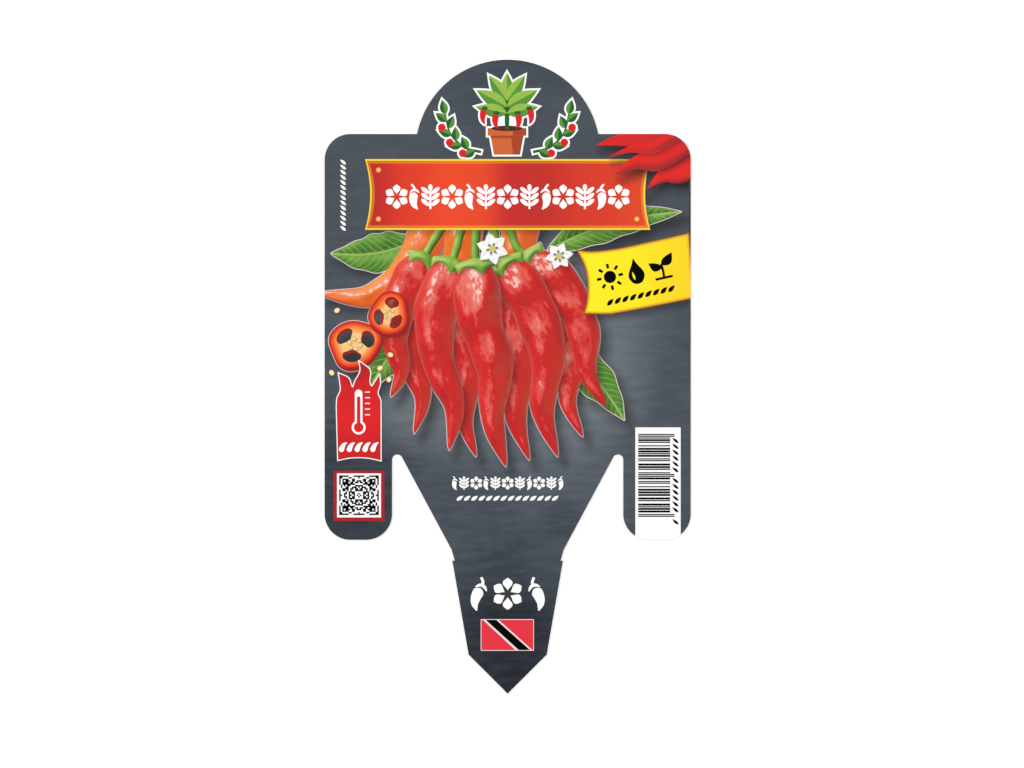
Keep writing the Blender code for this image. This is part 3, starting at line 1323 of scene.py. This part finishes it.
stripLook = {
    "level": 12,
    "panel": (38.3, -52.0, 51.9, -15.2),
    "bars": (39.15, -42.0, 48.75, -17.2),
    "modules": 95,              # of the thinnest bar's height, from the first bar to the last
    "spread": 0.05,             # how far the ink of a bar spreads into the paper
    "longBar": 1.3,             # how much further the end and middle bars reach
    "seed": 7,
    "leavesAcross": 50.3,
    "leafPitch": 1.76,
    "leafGroups": ((6, -23.5), (6, -35.5), (1, -43.5)),
}


def barLoops(look):
    draw = random.Random(look["seed"])
    left, bottom, right, top = look["bars"]
    module = (top - bottom) / look["modules"]
    middle = look["modules"] // 2 - 1
    end = look["modules"] - 3

    def bar(start, thick, reach=0.0):
        high = top - start * module + look["spread"]
        return boxLoop(left, high - thick * module - 2 * look["spread"], right + reach, high)

    loops = [bar(start + k, 1, look["longBar"]) for start in (0, middle, end) for k in (0, 2)]
    for start, last in ((4, middle - 1), (middle + 4, end - 1)):
        while start < last:
            thick = min(draw.choice((1, 1, 1, 2, 2, 4)), last - start)
            loops.append(bar(start, thick))
            start += thick + draw.choice((1, 1, 2, 2, 3))
    return loops


def strip(look, level):
    printFlat("stripPanel", [boxLoop(*look["panel"])], level, "white")
    printFlat("stripBars", barLoops(look), level + 1, "black")
    groups = []
    for count, height in look["leafGroups"]:
        row = leafRow(count, look["leafPitch"], 2.5, 0.8, 50)
        groups.append(placed(row, look["leavesAcross"], height, degrees=90))
    printMotifs("stripLeaves", groups, level + 1, "black")


# White ornaments down the stake and up the left side

whiteLook = {
    "level": 12,
    "row": (33.4, -31.9, 4.0),      # width, height on the label and size
    "signs": (22.2, -65.1, 9.6),
    "leavesAt": (0, -36.4),
    "sideAt": (-49.4, 54.5),
}


def whiteOrnaments(look, level):
    slanting = placed(chiliMotif(), 0, 0, degrees=22)
    for name, motifs in (
        ("stakeRow", nameRow(6, *look["row"])),
        ("stakeLeaves", [placed(leafRow(14, 2.2, 2.5, 1.05), *look["leavesAt"])]),
        ("stakeSigns", inRow([flowerMotif(), slanting], *look["signs"])),
        ("sideLeaves", [placed(leafRow(14, 1.53, 2.3, 0.85, 50), *look["sideAt"], degrees=90)]),
    ):
        printMotifs(name, motifs, level, "white")


# The red flag with its black and white band, above the stake's point

flagLook = {
    "level": 12,
    "box": (-7.88, -82.0, 7.68, -72.92),
    "border": 0.2,
    # where the bands run, as shares of the width along the top and along the bottom
    "whiteBand": ((0.025, 0.33), (0.66, 0.985)),
    "blackBand": ((0.08, 0.285), (0.72, 0.94)),
}


def bandLoop(look, band):
    left, bottom, right, top = look["box"]
    (topStart, topEnd), (bottomStart, bottomEnd) = look[band]
    corners = ((topStart, top), (topEnd, top), (bottomEnd, bottom), (bottomStart, bottom))
    return np.array([(left + share * (right - left), height) for share, height in corners])


def flag(look, level):
    field = boxLoop(*look["box"])
    printFlat("flagBorder", [grownLoop(field, look["border"])], level, "flagWhite")
    printFlat("flagField", [field], level + 1, "flagRed")
    printFlat("flagBandEdge", [bandLoop(look, "whiteBand")], level + 2, "flagWhite")
    printFlat("flagBand", [bandLoop(look, "blackBand")], level + 3, "black")


# The emblem in the arched header: a potted chili plant between two leafy twigs

emblemLook = {
    "level": 12,
    "centre": (-0.2, 78.8),
    "outline": 0.55,
    "twig": [(7.8, -11.4), (12.8, -10.0), (17.0, -5.8), (18.6, 0.2)],
    "leaves": [             # base, tip and width, from the back to the front
        ((0, 4.0), (5.4, 11.6), 4.0),
        ((0, 2.2), (9.2, 7.2), 4.4),
        ((0, 0.2), (9.4, 2.2), 4.0),
    ],
    "topLeaf": ((0, 4.0), (0, 12.4), 3.8),
    "chilies": [((3.2, 0.1), -86), ((6.7, 1.5), -80)],
}


def emblemTwig(look):
    # a twig with its leaves and berries
    line = smoothLine(look["twig"])
    spots, _ = evenLine(line, 9)
    aims = sideways(spots)
    leaves, berries = [], []
    for k, (spot, aim) in enumerate(zip(spots[1:], aims[1:])):
        along = np.array([aim[1], -aim[0]])
        side = 1 if k % 2 else -1
        tip = spot + along * 2.9 + aim * side * 2.7
        if k == len(spots) - 2:
            tip = spot + along * 4.2
        leaves.append((spot - along * 0.3, tip, 2.4))
        if k in (1, 3, 5):
            berries.append(roundLoop(spot - aim * side * 1.75 + along * 0.6, 1.15, steps=24))
    return strokeLoop(line, 0.42, 0.22), leaves, berries


def emblem(look, level):
    pot = np.array([(-5.0, -6.2), (5.0, -6.2), (3.9, -12.2), (-3.9, -12.2)])
    rim = boxLoop(-5.8, -6.5, 5.8, -4.2)
    potShade = [
        np.array([(1.2, -6.5), (4.94, -6.5), (3.88, -12.18), (1.8, -12.18)]),
        boxLoop(1.8, -6.45, 5.75, -4.25),
        boxLoop(-4.94, -7.2, 4.9, -6.5),
    ]
    soil = roundLoop((0, -4.3), 4.7, 0.8)
    stem = strokeLoop(smoothLine([(0, -4.6), (0.25, -1.4), (0, 5.0)]), 0.5, 0.34)
    heart = leafLoop((0, -1.6), (0, 6.2), 2.6)
    under = boxLoop(-3.2, -4.6, 3.2, 0.6)
    twig, twigLeaves, berries = emblemTwig(look)
    pods = [smallPod(spot, degrees, 4.5, 2.0) for spot, degrees in look["chilies"]]
    caps = [roundLoop((x, y + 0.2), 0.95, 0.62, steps=20) for (x, y), _ in look["chilies"]]
    whole, lit, twigWhole, twigLit = [
        [leafLoop(*leaf, sides=sides) for leaf in some]
        for some in (look["leaves"], twigLeaves) for sides in ((1, 1), (1, 0))
    ]
    top, topLit = [leafLoop(*look["topLeaf"], sides=sides) for sides in ((1, 1), (1, 0))]

    def plate(loops, rise):
        return flatPlate([shifted(loop, *look["centre"]) for loop in loops], level + rise)

    outlined = [pot, rim, soil, under, twig, top] + pods + whole + twigWhole + berries
    outline = [grownLoop(loop, look["outline"]) for loop in outlined]
    for part, loops, rise, tone in (
        ("Outline", bothSides(outline), 0, "white"),
        ("Pot", [pot, rim], 1, "terracotta"),
        ("PotShade", potShade, 2, "terracottaDark"),
        ("Soil", [soil], 3, "soil"),
        ("Twigs", bothSides([twig, stem, heart] + twigWhole), 4, "darkGreen"),
        ("TwigLights", bothSides(twigLit), 5, "leafGreen"),
        ("Berries", bothSides(berries), 6, "red"),
        ("Chilies", bothSides(pods), 8, "red"),
        ("Caps", bothSides(caps), 9, "darkGreen"),
    ):
        makePiece("emblem" + part, [plate(loops, rise)], plainInk(tone))
    leafPlates, lightPlates = [plate(bothSides([top]), 5)], [plate([topLit], 5.3)]
    for k, (leaf, light) in enumerate(zip(whole, lit)):
        leafPlates.append(plate(bothSides([leaf]), 5.6 + 0.6 * k))
        lightPlates.append(plate(bothSides([light]), 5.9 + 0.6 * k))
    makePiece("emblemLeaves", leafPlates, plainInk("leafGreen"))
    makePiece("emblemLeafLights", lightPlates, plainInk("limeGreen"))


for build, look in (
    (slateGround, slateLook),
    (picture, pictureLook),
    (plaque, plaqueLook),
    (cornerFlames, flameLook),
    (ribbon, ribbonLook),
    (pennant, pennantLook),
    (tile, tileLook),
    (strip, stripLook),
    (whiteOrnaments, whiteLook),
    (flag, flagLook),
    (emblem, emblemLook),
):
    build(look, look["level"])
    print(build.__name__, "printed,", len(printed), "pieces so far")

paintShadows()
print("shadows painted")


# Studio: a pale floor, soft light and the camera straight above

studioLook = {
    "pixel": 0.3,                       # millimetres of label to a pixel of the picture
    "pixelsWide": 1024,
    "centre": (1.3, -2.18),             # of the picture, on the label's face
    "lens": 85.0,
    "sensor": 36.0,
    "floorSize": 3.0,
    "floorDrop": 0.02,
    "floorRoughness": 0.8,
    "world": 0.42,
    "boxes": (                          # place, size and power of each soft box, metres and watts
        ((-0.75, 0.35, 0.75), 0.7, 6.9),
        ((0.8, 0.1, 0.8), 0.7, 5.4),
        ((0.0, -0.9, 0.7), 0.6, 2.3),
    ),
}


def paleFloor(look):
    paint = Paint("paleFloor", look["floorRoughness"], specular=0.2)
    cloudy = paint.noise(paint.face(), 0.02, 3.0)
    tone = paint.ramp(cloudy, [(0.3, (250, 250, 250)), (0.7, (254, 254, 254))])
    paint.feed(paint.shader.inputs["Base Color"], tone)
    paint.feed(paint.shader.inputs["Roughness"], look["floorRoughness"])
    half = look["floorSize"] / 2
    mesh = bpy.data.meshes.new("paleFloor")
    corners = [(x, y, -look["floorDrop"] * mm) for x, y in boxLoop(-half, -half, half, half)]
    mesh.from_pydata(corners, [], [(0, 1, 2, 3)])
    mesh.materials.append(paint.material)
    floor = addObject("paleFloor", mesh)


def studio(look):
    scene = bpy.context.scene
    paleFloor(look)
    for place, size, power in look["boxes"]:
        data = bpy.data.lights.new("softBox", "AREA")
        data.size = size
        data.energy = power
        lamp = addObject("softBox", data)
        lamp.location = place
        lamp.rotation_euler = (-Vector(place)).to_track_quat("-Z", "Y").to_euler()
    scene.world = bpy.data.worlds.new("paleRoom")
    scene.world.use_nodes = True
    room = scene.world.node_tree.nodes["Background"]
    room.inputs["Color"].default_value = (1, 1, 1, 1)
    room.inputs["Strength"].default_value = look["world"]
    scene.view_settings.view_transform = "Standard"
    scene.view_settings.look = "None"
    data = bpy.data.cameras.new("overhead")
    data.lens = look["lens"]
    data.sensor_width = look["sensor"]
    scene.camera = addObject("overhead", data)
    height = look["pixel"] * look["pixelsWide"] * look["lens"] / look["sensor"] + sheetTop
    scene.camera.location = Vector((*look["centre"], height)) * mm


studio(studioLook)
print("studio ready")
